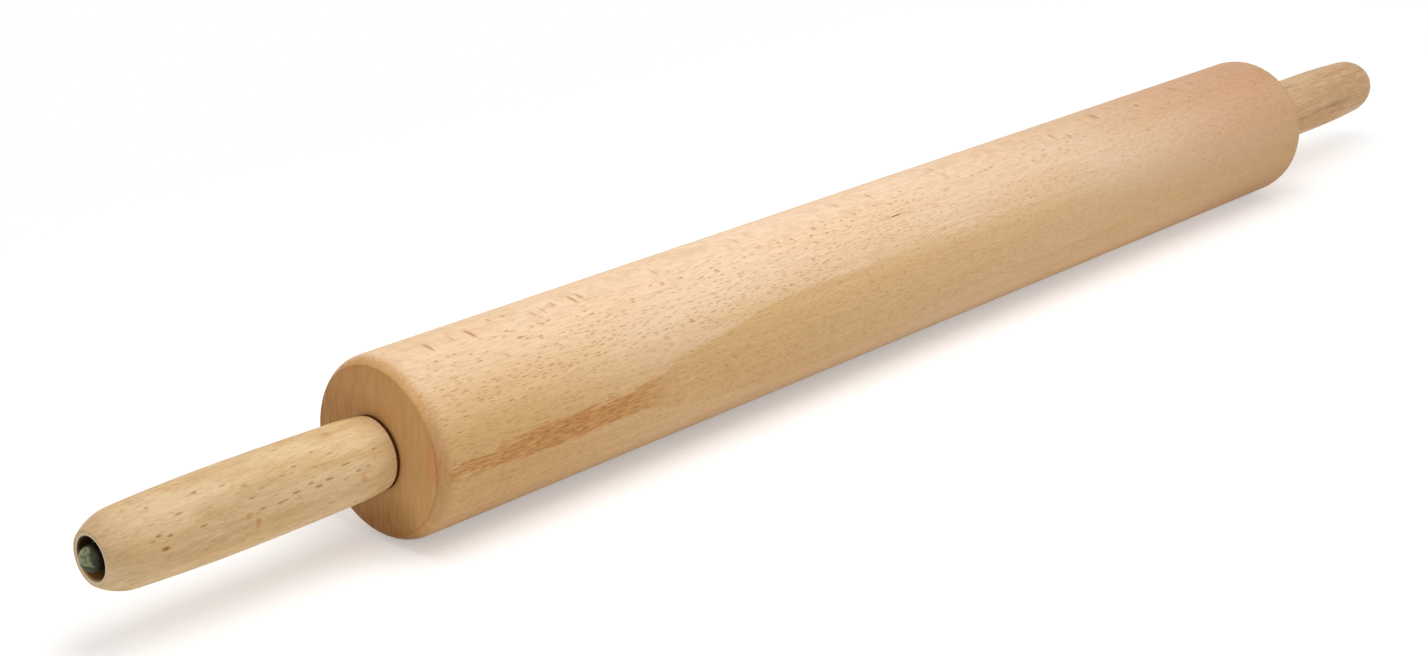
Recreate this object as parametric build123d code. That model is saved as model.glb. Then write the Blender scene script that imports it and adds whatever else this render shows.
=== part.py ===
"""A long beech rolling pin whose roller turns on ball bearings.

A steel axle runs through the whole pin. Two ball bearings, let into the ends of the roller, sit on
the axle against its shoulders. Outside each bearing come a spacer collar, a washer and the wooden
handle, and a cap nut in the handle's end hole clamps the stack. So the handles stay still in the
hands while the roller turns.

The axle lies along X, with the origin at the middle of the pin. Every piece of the right-hand end
is drawn in place, and the left-hand end is its mirror image.
"""
from build123d import *
from math import sqrt
import os

# Sizes are in millimetres.

# Roller
roller_radius = 35.0
roller_length = 600.0
shoulder_length = 6.5  # how far the rounded shoulder reaches along the roller
shoulder_depth = 3.0  # how much it takes off the radius at the end face
face_crown = 1.25  # how far the end face swells out at its middle
roller_bore_radius = 7.0

# Ball bearing: rings, balls, cage and shields
bearing_width = 7.0
bearing_radius = 11.0
bearing_bore_radius = 4.0
bearing_recess = 1.0  # how far it sits below the rim of the roller's end face
ring_chamfer = 0.3
pitch_radius = 7.5  # where the centres of the balls run
ball_radius = 1.984
ball_count = 7
ball_clearance = 0.03  # between a ball and the groove of either ring
groove_depth = 0.55
shield_seat_depth = 0.8
shield_seat_step = 0.6
shield_rim = 0.55
shield_thickness = 0.25
shield_gap = 0.35  # between a shield and the inner ring
cage_wall = 1.5
cage_back = 0.4  # wall left behind the pockets
cage_claw = 0.9  # how far the claws reach past the balls' centres
pocket_clearance = 0.06
cage_slot_width = 1.0
cage_slot_depth = 1.5

# Axle
axle_core_radius = 5.0
stud_radius = 3.0  # the threaded ends
stud_runout = 4.0  # how far the thread starts inside the handle's floor
axle_chamfer = 0.6

# Handle
handle_length = 117.9
handle_gap = 2.3  # from the rim of the roller's end face to the handle
root_radius = 14.0
root_edge = 0.5  # rounding of the edge at the root
neck_radius = 15.1  # where the grip starts to turn in to the root
neck_place = 13.7  # from the root
belly_radius = 15.65
belly_place = 60.0  # from the root
nose_radius = 14.4  # where the nose starts to close
nose_length = 12.3
rim_radius = 9.8  # outside of the flat rim round the end hole
mouth_radius = 7.5
mouth_edge = 0.6

# Washers, collars and cap nuts
collar_radius = 5.75
root_washer_radius = 14.1  # a little more than the handle's root, so its edge shows
root_washer_thickness = 0.9
nut_washer_radius = 6.0
nut_washer_thickness = 1.6
nut_flats = 10.0  # across the flats of the hexagon
nut_hex_height = 5.0
nut_height = 12.0
nut_dome_radius = 4.75
nut_thread_depth = 8.0
nut_corner_bevel = 0.45
nut_proud = 3.7  # how far the dome stands out of the end hole
stud_tip_gap = 1.0  # left between the stud's end and the bottom of the nut's thread

# Clearances
seat_clearance = 0.01  # pressed seats, which stay a hair apart here
axle_clearance = 0.1  # handle, collars and root washers on the axle
stud_clearance = 0.2  # nut washers on the studs
thread_clearance = 0.03

# Places along the axle, from the middle of the pin outwards
roller_end = roller_length / 2
bearing_outside = roller_end - bearing_recess
bearing_middle = bearing_outside - bearing_width / 2
bearing_inside = bearing_outside - bearing_width
handle_root = roller_end + handle_gap
handle_nose = handle_root + handle_length
handle_floor = handle_nose + nut_proud - nut_height - nut_washer_thickness
nut_seat = handle_floor + nut_washer_thickness
stud_start = handle_floor - stud_runout
stud_end = nut_seat + nut_thread_depth - stud_tip_gap

# Radii that follow from the sizes above
journal_radius = bearing_bore_radius - seat_clearance
bearing_pocket_radius = bearing_radius + seat_clearance
groove_radius = ball_radius + ball_clearance
inner_land_radius = pitch_radius - ball_radius + groove_depth
outer_land_radius = pitch_radius + ball_radius - groove_depth
shield_seat_radius = outer_land_radius + shield_seat_step
face_radius = roller_radius - shoulder_depth
crown_radius = (face_radius**2 + face_crown**2) / (2 * face_crown)


def turned(*edges):
    """One turned piece: the outline of its half section, spun round the axle's line."""
    return revolve(make_face(edges), Axis.X)


def ring(start, end, inside_radius, outside_radius):
    """A plain ring with a rectangular section."""
    corners = [
        (start, inside_radius),
        (end, inside_radius),
        (end, outside_radius),
        (start, outside_radius),
    ]
    return turned(Polyline(*corners, close=True))


def on_the_crown(radius):
    """The point of the roller's slightly crowned end face at this radius."""
    crown_centre = roller_end + face_crown - crown_radius
    return (crown_centre + sqrt(crown_radius**2 - radius**2), radius)


def roller():
    """The bored wooden roller, with a pocket for a bearing in each end."""
    shoulder_start = (roller_end - shoulder_length, roller_radius)
    face_edge = (roller_end, face_radius)
    face_middle = on_the_crown((face_radius + bearing_pocket_radius) / 2)
    pocket_mouth = on_the_crown(bearing_pocket_radius)
    barrel = Line((0, roller_radius), shoulder_start)
    shoulder = TangentArc(shoulder_start, face_edge, tangent=(1, 0))
    end_face = ThreePointArc(face_edge, face_middle, pocket_mouth)
    bores = Polyline(
        pocket_mouth,
        (bearing_inside, bearing_pocket_radius),
        (bearing_inside, roller_bore_radius),
        (0, roller_bore_radius),
    )
    right_half = [barrel, shoulder, end_face, bores]
    left_half = [mirror(piece, about=Plane.YZ) for piece in right_half]
    return turned(*right_half, *left_half)


def axle():
    """The steel bar: a thick core, a journal and a threaded stud at each end."""
    right_half = Polyline(
        (0, 0),
        (0, axle_core_radius),
        (bearing_inside, axle_core_radius),
        (bearing_inside, journal_radius),
        (stud_start - axle_chamfer, journal_radius),
        (stud_start, journal_radius - axle_chamfer),
        (stud_start, stud_radius),
        (stud_end - axle_chamfer, stud_radius),
        (stud_end, stud_radius - axle_chamfer),
        (stud_end, 0),
        close=True,
    )
    right_solid = turned(right_half)
    return right_solid + mirror(right_solid, about=Plane.YZ)


def inner_ring():
    """The bearing's inner ring, with the groove that the balls run in."""
    start = bearing_inside
    end = bearing_outside
    groove_half = sqrt(groove_radius**2 - (pitch_radius - inner_land_radius) ** 2)
    groove_start = (bearing_middle - groove_half, inner_land_radius)
    groove_end = (bearing_middle + groove_half, inner_land_radius)
    groove_bottom = (bearing_middle, pitch_radius - groove_radius)
    sides = Polyline(
        groove_end,
        (end, inner_land_radius),
        (end, bearing_bore_radius + ring_chamfer),
        (end - ring_chamfer, bearing_bore_radius),
        (start + ring_chamfer, bearing_bore_radius),
        (start, bearing_bore_radius + ring_chamfer),
        (start, inner_land_radius),
        groove_start,
    )
    return turned(sides, ThreePointArc(groove_start, groove_bottom, groove_end))


def outer_ring():
    """The outer ring, pressed into the roller, with a step for a shield on each side."""
    start = bearing_inside
    end = bearing_outside
    groove_half = sqrt(groove_radius**2 - (outer_land_radius - pitch_radius) ** 2)
    groove_start = (bearing_middle - groove_half, outer_land_radius)
    groove_end = (bearing_middle + groove_half, outer_land_radius)
    groove_bottom = (bearing_middle, pitch_radius + groove_radius)
    sides = Polyline(
        groove_end,
        (end - shield_seat_depth, outer_land_radius),
        (end - shield_seat_depth, shield_seat_radius),
        (end, shield_seat_radius),
        (end, bearing_radius - ring_chamfer),
        (end - ring_chamfer, bearing_radius),
        (start + ring_chamfer, bearing_radius),
        (start, bearing_radius - ring_chamfer),
        (start, shield_seat_radius),
        (start + shield_seat_depth, shield_seat_radius),
        (start + shield_seat_depth, outer_land_radius),
        groove_start,
    )
    return turned(sides, ThreePointArc(groove_start, groove_bottom, groove_end))


def outside_shield():
    """The pressed steel shield that closes the bearing towards the handle."""
    back = bearing_outside - shield_seat_depth
    front = back + shield_rim
    rim_radius_outside = shield_seat_radius - seat_clearance
    rim_radius_inside = rim_radius_outside - shield_thickness
    hole_radius = inner_land_radius + shield_gap
    section = Polyline(
        (back, rim_radius_inside),
        (back, rim_radius_outside),
        (front, rim_radius_outside),
        (front, hole_radius),
        (front - shield_thickness, hole_radius),
        (front - shield_thickness, rim_radius_inside),
        close=True,
    )
    return turned(section)


def inside_shield():
    """The same shield on the bearing's other side, facing the middle of the roller."""
    return mirror(outside_shield(), about=Plane.YZ.offset(bearing_middle))


def round_the_axle(piece, count):
    """Copies of a piece, evenly spaced round the axle."""
    return [Rot(X=360 * turn / count) * piece for turn in range(count)]


def balls():
    """The bearing's set of steel balls, as separate solids."""
    ball = Pos(bearing_middle, 0, pitch_radius) * Sphere(ball_radius)
    return Compound(round_the_axle(ball, ball_count))


def cage():
    """The crown cage: a ring with a round pocket for each ball, open on the claws' side."""
    pocket_radius = ball_radius + pocket_clearance
    back = bearing_middle - pocket_radius - cage_back
    front = bearing_middle + cage_claw
    crown = ring(back, front, pitch_radius - cage_wall / 2, pitch_radius + cage_wall / 2)
    pocket = Pos(bearing_middle, 0, pitch_radius) * Sphere(pocket_radius)
    slot_tool = Box(cage_slot_depth, cage_slot_width, 2 * cage_wall)
    slot = Pos(front - cage_slot_depth / 2, 0, pitch_radius) * slot_tool
    slot_between_balls = Rot(X=180 / ball_count) * slot
    cuts = round_the_axle(pocket, ball_count) + round_the_axle(slot_between_balls, ball_count)
    return crown - cuts


def spacer_collar():
    """The collar that holds the handle off the roller, from the inner ring to the washer."""
    washer_face = handle_root - root_washer_thickness
    return ring(bearing_outside, washer_face, journal_radius + axle_clearance, collar_radius)


def root_washer():
    """The wide black washer that the handle's root is clamped against."""
    washer_face = handle_root - root_washer_thickness
    return ring(washer_face, handle_root, journal_radius + axle_clearance, root_washer_radius)


def handle():
    """The turned handle, with a bore for the axle and a deep hole for the cap nut."""
    bore_radius = journal_radius + axle_clearance
    root_corner = (handle_root, root_radius - root_edge)
    grip_start = (handle_root + root_edge, root_radius)
    neck = (handle_root + neck_place, neck_radius)
    belly = (handle_root + belly_place, belly_radius)
    nose_start = (handle_nose - nose_length, nose_radius)
    rim_corner = (handle_nose, rim_radius)
    root_rounding = RadiusArc(root_corner, grip_start, root_edge)
    inner_grip = TangentArc(belly, neck, tangent=(-1, 0))
    turn_in = TangentArc(neck, grip_start, tangent=inner_grip % 1)
    outer_grip = TangentArc(belly, nose_start, tangent=(1, 0))
    nose = TangentArc(nose_start, rim_corner, tangent=outer_grip % 1)
    hole = Polyline(
        rim_corner,
        (handle_nose, mouth_radius + mouth_edge),
        (handle_nose - mouth_edge, mouth_radius),
        (handle_floor, mouth_radius),
        (handle_floor, bore_radius),
        (handle_root, bore_radius),
        root_corner,
    )
    return turned(root_rounding, turn_in, inner_grip, outer_grip, nose, hole)


def nut_washer():
    """The small washer between the cap nut and the bottom of the end hole."""
    return ring(handle_floor, nut_seat, stud_radius + stud_clearance, nut_washer_radius)


def cap_nut():
    """The domed nut: a hexagon with bevelled corners, a round neck and a full dome."""
    hex_end = nut_seat + nut_hex_height
    corner_radius = nut_flats / sqrt(3)
    nut_end = nut_seat + nut_height
    dome_centre = nut_end - nut_dome_radius
    thread_radius = stud_radius + thread_clearance
    hexagon = RegularPolygon(nut_flats / 2, side_count=6, major_radius=False)
    prism = extrude(Plane.YZ.offset(nut_seat) * hexagon, nut_hex_height)
    bevels = turned(
        Polyline(
            (nut_seat, 0),
            (nut_seat, corner_radius - nut_corner_bevel),
            (nut_seat + nut_corner_bevel, corner_radius),
            (hex_end - nut_corner_bevel, corner_radius),
            (hex_end, corner_radius - nut_corner_bevel),
            (hex_end, 0),
            close=True,
        )
    )
    neck = Polyline(
        (nut_end, 0),
        (nut_seat, 0),
        (nut_seat, nut_dome_radius),
        (dome_centre, nut_dome_radius),
    )
    crown = turned(neck, CenterArc((dome_centre, 0), nut_dome_radius, 0, 90))
    thread = ring(nut_seat, nut_seat + nut_thread_depth, 0, thread_radius)
    return (prism & bevels) + crown - thread


def both_ends(name, piece):
    """The right-hand piece and its mirror image, each under its own name."""
    return {"left_" + name: mirror(piece, about=Plane.YZ), "right_" + name: piece}


def all_pieces():
    """Every piece of the pin in its place."""
    pieces = {"roller": roller(), "axle": axle()}
    pieces.update(both_ends("handle", handle()))
    pieces.update(both_ends("cap_nut", cap_nut()))
    pieces.update(both_ends("nut_washer", nut_washer()))
    pieces.update(both_ends("root_washer", root_washer()))
    pieces.update(both_ends("spacer_collar", spacer_collar()))
    pieces.update(both_ends("bearing_outer_ring", outer_ring()))
    pieces.update(both_ends("bearing_inner_ring", inner_ring()))
    pieces.update(both_ends("bearing_cage", cage()))
    pieces.update(both_ends("bearing_balls", balls()))
    pieces.update(both_ends("bearing_inside_shield", inside_shield()))
    pieces.update(both_ends("bearing_outside_shield", outside_shield()))
    return pieces


os.makedirs("parts", exist_ok=True)
for node, piece in all_pieces().items():
    export_step(piece, "parts/" + node + ".step")
    volume = sum(solid.volume for solid in piece.solids())
    print(node, "solids", len(piece.solids()), "volume", round(volume, 2))
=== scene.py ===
# %% [markdown]
# # A turned beech rolling pin
#
# The pin is a long wooden roller on ball bearings, with a handle held still at each end. Its shapes
# come ready made as a fixed frame, with every piece in its place. They could be modelled again in
# Blender, but then there would be two pins to keep alike. So this lesson loads the frame, leaves its
# shapes alone, and gives every piece its finish.

# %% Load the frame
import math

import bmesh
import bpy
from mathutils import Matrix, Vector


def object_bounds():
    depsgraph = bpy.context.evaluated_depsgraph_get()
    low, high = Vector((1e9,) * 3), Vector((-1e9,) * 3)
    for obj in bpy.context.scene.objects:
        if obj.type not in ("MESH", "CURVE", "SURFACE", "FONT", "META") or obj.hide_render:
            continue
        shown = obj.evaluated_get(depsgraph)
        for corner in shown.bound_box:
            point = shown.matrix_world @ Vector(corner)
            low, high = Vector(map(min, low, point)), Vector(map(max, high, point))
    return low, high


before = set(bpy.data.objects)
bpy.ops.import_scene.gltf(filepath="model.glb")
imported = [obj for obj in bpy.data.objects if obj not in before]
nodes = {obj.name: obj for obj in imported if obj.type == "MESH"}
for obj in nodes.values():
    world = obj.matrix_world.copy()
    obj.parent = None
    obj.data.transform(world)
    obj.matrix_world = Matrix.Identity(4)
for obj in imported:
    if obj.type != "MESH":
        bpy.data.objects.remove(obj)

# %% [markdown]
# ## What the frame holds
#
# The pieces are sorted into bodies. The axle and all that is clamped on it, handles included, are
# one body. The roller turns with the outer parts of its bearings, and their balls go round at a
# little under two thirds of its pace. A finish must not change any size, so the pin is measured
# before anything is added.

MM = 0.001
cad_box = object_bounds()
print("pieces in the frame:", len(nodes))
print("the frame's box, mm:", [round((high - low) / MM, 1) for low, high in zip(*cad_box)])

# %% [markdown]
# ## The camera
#
# A camera can be placed by eye, by dragging it round until the outline fits. Here its place was
# worked out from the pin's own outline, so the numbers are written down as they came: it stands
# close to the near handle, a little above it, and looks along the roller. The lens is fairly long,
# 60 mm on a sensor 36 mm wide.

# %% Place the camera
CAMERA_AT = (-0.80199, -0.61987, 0.33586)
CAMERA_TURN = (1.21967, 0.0, -0.83282)
LENS_MM = 60.16
SENSOR_MM = 36.0
NEAREST_SEEN = 0.01

scene = bpy.context.scene
lens = bpy.data.cameras.new("camera")
lens.lens = LENS_MM
lens.sensor_width = SENSOR_MM
lens.sensor_fit = "HORIZONTAL"
lens.clip_start = NEAREST_SEEN
camera = bpy.data.objects.new("camera", lens)
camera.location = CAMERA_AT
camera.rotation_euler = CAMERA_TURN
scene.collection.objects.link(camera)
scene.camera = camera
print("camera to the middle of the pin, m:", round(camera.location.length, 3))

# %% [markdown]
# ## The roller's material
#
# The roller is sanded beech, hardly polished, so its shine is low. A finish in Blender is a graph
# of nodes that ends in a shader. It could be wired by hand in the shader editor, which is good for
# trying things out. Code suits this pin better, because the same wood goes on three pieces. What is
# the same all over a surface is set on the shader itself, and the nodes give the rest.

# %% Start the roller's material
ROLLER_SHINE = 0.15


def rgb(red, green, blue):
    """A colour with its fourth number."""
    return (red, green, blue, 1.0)


def new_material(name, roughness, metallic=0.0, specular=0.5):
    """A material, its nodes and its shader, with the numbers that stay the same all over.

    The roughness given here is only the middle of it where nodes vary it later.
    """
    made = bpy.data.materials.new(name)
    made.use_nodes = True
    shader = made.node_tree.nodes["Principled BSDF"]
    shader.inputs["Roughness"].default_value = roughness
    shader.inputs["Metallic"].default_value = metallic
    shader.inputs["Specular IOR Level"].default_value = specular
    return made, made.node_tree, shader


def tell(what, tree):
    """Says what was made and how far the graph has grown."""
    print(f"{what}: {len(tree.nodes)} nodes so far")


roller_beech, tree, shader = new_material("roller_beech", roughness=0.5, specular=ROLLER_SHINE)
tell("an empty finish for the roller", tree)

# %% [markdown]
# ## A place in the tree
#
# Beech looks different on each side of a board, because the same rings and rays are cut at
# different angles. A picture of wood wrapped round the pin would miss that. A solid pattern gets it
# right by itself, also on the end faces and in the bores: each point of the pin is given its place
# in the tree, in millimetres along the grain, out towards the bark, and along the rings. The
# pattern is drawn there. The roller was cut so that the bark lay in front. It takes three helpers:
# `put` fills one input, `node` adds a node and fills its inputs in order, and `calc` is one sum.


# %% One node at a time
def put(tree, socket, value):
    """Joins a socket to another node's output, or sets its number."""
    if isinstance(value, bpy.types.NodeSocket):
        tree.links.new(value, socket)
    else:
        socket.default_value = value


def node(tree, kind, *values, **settings):
    """Adds a node of this kind, with its inputs filled in order."""
    made = tree.nodes.new("ShaderNode" + kind)
    for name, setting in settings.items():
        setattr(made, name, setting)
    for socket, value in zip(made.inputs, values):
        put(tree, socket, value)
    return made


def calc(tree, operation, *values):
    """One sum on numbers."""
    return node(tree, "Math", *values, operation=operation).outputs[0]


# %% The tree's own directions
TO_MM = (1 / MM,) * 3


def object_point(tree):
    """The point that is being coloured, in metres from the middle of the pin."""
    return node(tree, "TexCoord").outputs["Object"]


def in_the_tree(tree, bark_turn):
    """The point in mm as (along the grain, towards the bark, along the rings), and these three.

    bark_turn says which way the bark lay, in degrees round from the top.
    """
    turn = (math.radians(90.0 - bark_turn), 0.0, 0.0)
    made = node(tree, "Mapping", object_point(tree), (0.0, 0.0, 0.0), turn, TO_MM, vector_type="POINT")
    along, y, z = node(tree, "SeparateXYZ", made.outputs[0]).outputs
    bark = calc(tree, "MULTIPLY", y, -1.0)
    return node(tree, "CombineXYZ", along, bark, z).outputs[0], along, bark, z


# %% Turn the roller's wood
# With the bark in front the rings run upright, so `rings` is also the height above the axis.
ROLLER_BARK = 91.0

point, along, bark, rings = in_the_tree(tree, ROLLER_BARK)
tell(f"the roller's bark lay {ROLLER_BARK:g} degrees round from the top", tree)

# %% [markdown]
# ## Pale wood in soft patches
#
# Sanded beech is pale pink-brown and never quite even. The patches could be painted, but they
# follow the grain, so noise is used that is stretched along it. `step` turns a noise into a share
# from 0 to 1, and `blend` and `tint` mix two colours by that share.


# %% Shares and blends
def step(tree, value, span, ends=(0.0, 1.0), rise="SMOOTHSTEP"):
    """Goes from the first of ends to the second while the value crosses the span."""
    return node(tree, "MapRange", value, *span, *ends, interpolation_type=rise).outputs[0]


def both(tree, first, second):
    """High only where both of them are."""
    return calc(tree, "MULTIPLY", first, second)


def either(tree, first, second):
    """The higher of the two."""
    return calc(tree, "MAXIMUM", first, second)


def blend(tree, share, first, second, way="MIX"):
    """Two colours blended by a share from 0 to 1."""
    made = node(tree, "Mix", data_type="RGBA", blend_type=way)
    for place, value in ((0, share), (6, first), (7, second)):
        put(tree, made.inputs[place], value)
    return made.outputs[2]


def tint(tree, share, colour, by):
    """The colour, multiplied by another one by this share."""
    return blend(tree, share, colour, by, "MULTIPLY")


# %% Noise with a size
# Most of a noise lies within this range.
NOISE_RANGE = (0.3, 0.7)


def stretched(tree, point, size, shift=(0.0, 0.0, 0.0)):
    """The point measured in steps of this size, in mm, along each direction."""
    moved = node(tree, "VectorMath", point, shift, operation="ADD").outputs[0]
    return node(tree, "VectorMath", moved, size, operation="DIVIDE").outputs[0]


def cloud(tree, point, size, detail=2.0, shift=(0.0, 0.0, 0.0)):
    """Noise from 0 to 1 whose patches have this size, in mm."""
    made = node(tree, "TexNoise", stretched(tree, point, size, shift))
    made.inputs["Scale"].default_value = 1.0
    made.inputs["Detail"].default_value = detail
    return made.outputs[0]


def wobble(tree, value, noise, by):
    """The value, moved to and fro by this much of a noise."""
    return calc(tree, "MULTIPLY_ADD", calc(tree, "SUBTRACT", noise, 0.5), by, value)


# %% Patches of warmer wood
WOOD_PALE = rgb(0.88, 0.635, 0.42)
WOOD_WARM = rgb(0.87, 0.60, 0.375)
PATCH_SIZE = (90.0, 26.0, 14.0)
HALF_AND_HALF = (0.35, 0.65)

patch = cloud(tree, point, PATCH_SIZE, shift=(0.0, 7.0, 0.0))
wood = blend(tree, step(tree, patch, HALF_AND_HALF), WOOD_PALE, WOOD_WARM)
tell("pale wood with warmer patches", tree)

# %% [markdown]
# ## Deeper towards the lower front
#
# The wood is browner low in front, less so towards the far end, and a little yellow at the near end. The
# brown is partly the wood's own tone and partly painted shade, where the lower front turns away from the
# lamp, and the whole far end is browned as painted shade where the lamp's light falls off. One gradient
# down the pin would look sprayed on. Here the brown follows the rings and the patches, and only its
# strength changes along the pin, through a few points of a curve.


# %% A number that changes along the pin
def along_the_pin(tree, along, points, lowest, highest):
    """A number that changes smoothly along the pin, through these (place, number) points in mm."""
    first, last = points[0][0], points[-1][0]
    made = node(tree, "FloatCurve", 1.0, step(tree, along, (first, last), rise="LINEAR"))
    curve = made.mapping.curves[0]
    length, rise = last - first, highest - lowest
    places = [((place - first) / length, (number - lowest) / rise) for place, number in points]
    for place in places[1:-1]:
        curve.points.new(*place)
    curve.points[0].location = places[0]
    curve.points[-1].location = places[-1]
    made.mapping.update()
    return calc(tree, "MULTIPLY_ADD", made.outputs[0], rise, lowest)


# %% Brown and yellow wood
# `side` grows towards the lower front. It is in mm, and so are the spans. The patches make its edge
# wander.
WOOD_DEEP_AND_SHADE = rgb(0.76, 0.49, 0.245)
WOOD_YELLOW = rgb(0.95, 0.895, 0.78)
LOW_SHARE = [(-300.0, 1.0), (-130.0, 0.95), (0.0, 0.75), (150.0, 0.55), (300.0, 0.45)]
LOW_FRONT = (4.0, 30.0)
YELLOW_FRONT = (-12.0, 26.0)
FAR_END_SHADE = (90.0, 300.0)
NEAR_END = (-170.0, -270.0)
TO_THE_FRONT, DOWN = 0.85, -0.5
EDGE_WANDERS = 14.0

side = calc(tree, "MULTIPLY_ADD", bark, TO_THE_FRONT, calc(tree, "MULTIPLY", rings, DOWN))
side = wobble(tree, side, patch, EDGE_WANDERS)
low = both(tree, step(tree, side, LOW_FRONT), along_the_pin(tree, along, LOW_SHARE, 0.0, 1.0))
# The deep brown is partly the wood's own tone and partly painted shade; over the far end it is painted
# shade.
wood = blend(tree, either(tree, low, step(tree, along, FAR_END_SHADE, (0.0, 0.85))), wood, WOOD_DEEP_AND_SHADE)
yellow = both(tree, step(tree, along, NEAR_END), step(tree, side, YELLOW_FRONT, (0.3, 1.0)))
wood = tint(tree, yellow, wood, WOOD_YELLOW)
tell("brown in the lower front, yellow at the near end", tree)

# %% Tones of the far end
# Each is a tint, the span of heights that it fades in over, and the same along the pin.
FAR_TINTS = {
    "greyer on top": (rgb(0.94, 0.91, 0.89), (27.5, 33.5), (40.0, 150.0)),
    "rosy in front": (rgb(1.02, 0.92, 0.96), (-6.0, 18.0), (110.0, 260.0)),
    "yellow lower down": (rgb(1.0, 0.915, 0.77), (10.0, -12.0), (-10.0, 190.0)),
    "brown below": (rgb(0.83, 0.75, 0.68), (-6.0, -24.0), (140.0, 280.0)),
}

for name, (colour, heights, places) in FAR_TINTS.items():
    here = both(tree, step(tree, rings, heights), step(tree, along, places))
    wood = tint(tree, here, wood, colour)
    tell(f"far end, {name}", tree)

# %% [markdown]
# ## The tongue and its red tip
#
# In front the outermost rings are cut at a slant, so the darker wood of one ring spreads into a
# long tongue that widens along the pin. Its tip, near the left end, is a red-brown streak with
# flame edges. A mask could be drawn in that shape. But the lathe made it by cutting into a ring
# that wasn't quite parallel to the pin, so here one ring tilts along the roller in the same way,
# and a soft step down its depth draws the tongue, the streak and their ragged edges together.

# %% Where the dark ring lies
# Each pair is a place along the pin and how far the ring is from the middle of the pin there. At 35
# it only touches the surface, and the further in it lies, the wider the tongue is. Past the start
# of the rounded shoulder the ring drops as the surface does, by 3 mm over the shoulder's 6.5 mm.
RING_PLACES = [
    (-300.0, 34.82), (-268.0, 34.8), (-252.0, 34.58), (-235.0, 34.56), (-205.0, 34.62), (-190.0, 34.3),
    (-172.0, 33.3), (-155.0, 32.7), (-140.0, 31.9), (-122.0, 30.9), (-100.0, 30.2), (0.0, 28.7),
    (300.0, 27.9),
]
RING_RANGE = (27.5, 35.5)
SHOULDER_AT = -293.5
SHOULDER_DROP = 0.071

ring = along_the_pin(tree, along, RING_PLACES, *RING_RANGE)
over = either(tree, calc(tree, "SUBTRACT", SHOULDER_AT, along), 0.0)
drop = calc(tree, "MULTIPLY", calc(tree, "MULTIPLY", over, over), SHOULDER_DROP)
ring = calc(tree, "SUBTRACT", ring, drop)
tell("a tilted ring", tree)

# %% The tongue
WOOD_ZONE = rgb(0.735, 0.455, 0.205)
ZONE_SHARE = [(-300.0, 0.9), (-130.0, 0.85), (-70.0, 0.52), (0.0, 0.42), (100.0, 0.28), (300.0, 0.05)]
EDGE_SOFTENS = (-120.0, 20.0)
EDGE_SOFTNESS = (0.15, 5.0)
FLAME_SIZE, FLAME_DEEP = (9.0, 2.0, 0.8), 1.1
WAVE_SIZE, WAVE_DEEP = (40.0, 8.0, 5.0), 0.5

flame = cloud(tree, point, FLAME_SIZE, 4.0)
wave = cloud(tree, point, WAVE_SIZE, shift=(20.0, 0.0, 0.0))
edge = wobble(tree, wobble(tree, bark, flame, FLAME_DEEP), wave, WAVE_DEEP)
depth = calc(tree, "SUBTRACT", edge, ring)
zone = step(tree, depth, (-0.05, step(tree, along, EDGE_SOFTENS, EDGE_SOFTNESS)))
fade = along_the_pin(tree, along, ZONE_SHARE, 0.0, 1.0)
wood = blend(tree, both(tree, zone, fade), wood, WOOD_ZONE)
tell("the tongue", tree)

# %% Its red tip
WOOD_STREAK = rgb(0.71, 0.36, 0.125)
WOOD_EMBER = rgb(0.53, 0.235, 0.07)
STREAK_ENDS = (-172.0, -212.0)
STREAK_EDGE = (-0.03, 0.14)
STREAK_STRENGTH = 0.9

streak = both(tree, step(tree, depth, STREAK_EDGE), step(tree, along, STREAK_ENDS))
fleck = cloud(tree, point, (6.0, 1.2, 0.7), 3.0, (0.0, 0.0, 5.0))
tone = blend(tree, step(tree, fleck, (0.36, 0.62)), WOOD_STREAK, WOOD_EMBER)
wood = blend(tree, calc(tree, "MULTIPLY", streak, STREAK_STRENGTH), wood, tone)
tell("the red tip", tree)

# %% [markdown]
# ## Rays
#
# The dark dashes are the rays of beech: thin ribbons of soft cells that run from the heart to the
# bark. Cut across, on the side that faced the bark, a ribbon shows as a short dash along the grain.
# Cut lengthwise, a quarter of a turn round, the same ribbon shows as a mark across the grain. Noise
# would give blots, so a cell pattern is used instead: each cell holds one lens-shaped spot, and the
# cells are stretched so that the spots are ribbons. Not every cell gets one.


# %% Rays as stretched cells
def rays(tree, point, cell, widest, filled, shift=(0.0, 0.0, 0.0)):
    """Lens-shaped spots in cells of this size in mm.

    widest is the largest half width in cells, and filled the share of cells that get a spot. Each
    cell has three random numbers: how wide its spot is, how strong, and whether it has one.
    """
    made = node(tree, "TexVoronoi", stretched(tree, point, cell, shift))
    made.inputs["Scale"].default_value = 1.0
    chance = node(tree, "SeparateColor", made.outputs["Color"]).outputs
    edge = calc(tree, "MULTIPLY", calc(tree, "POWER", chance[0], 0.5), widest)
    core = calc(tree, "MULTIPLY", edge, 0.5)
    mark = step(tree, made.outputs["Distance"], (edge, core))
    has_one = step(tree, chance[2], (filled, filled - 0.05))
    strength = both(tree, has_one, calc(tree, "MULTIPLY_ADD", chance[1], 0.6, 0.4))
    return both(tree, mark, strength)


# %% The roller's rays
# They lean a few degrees off the rings, as they often do. They are faint along the very top, where
# they are cut lengthwise, and a little fainter towards the far end.
ROLLER_RAYS_TURN = 97.0
RAY_TINT = rgb(0.64, 0.46, 0.29)
LARGE_STRENGTH = 0.7
VERY_TOP = (34.4, 32.4)
FARTHER_ON = (-200.0, 160.0)

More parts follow.
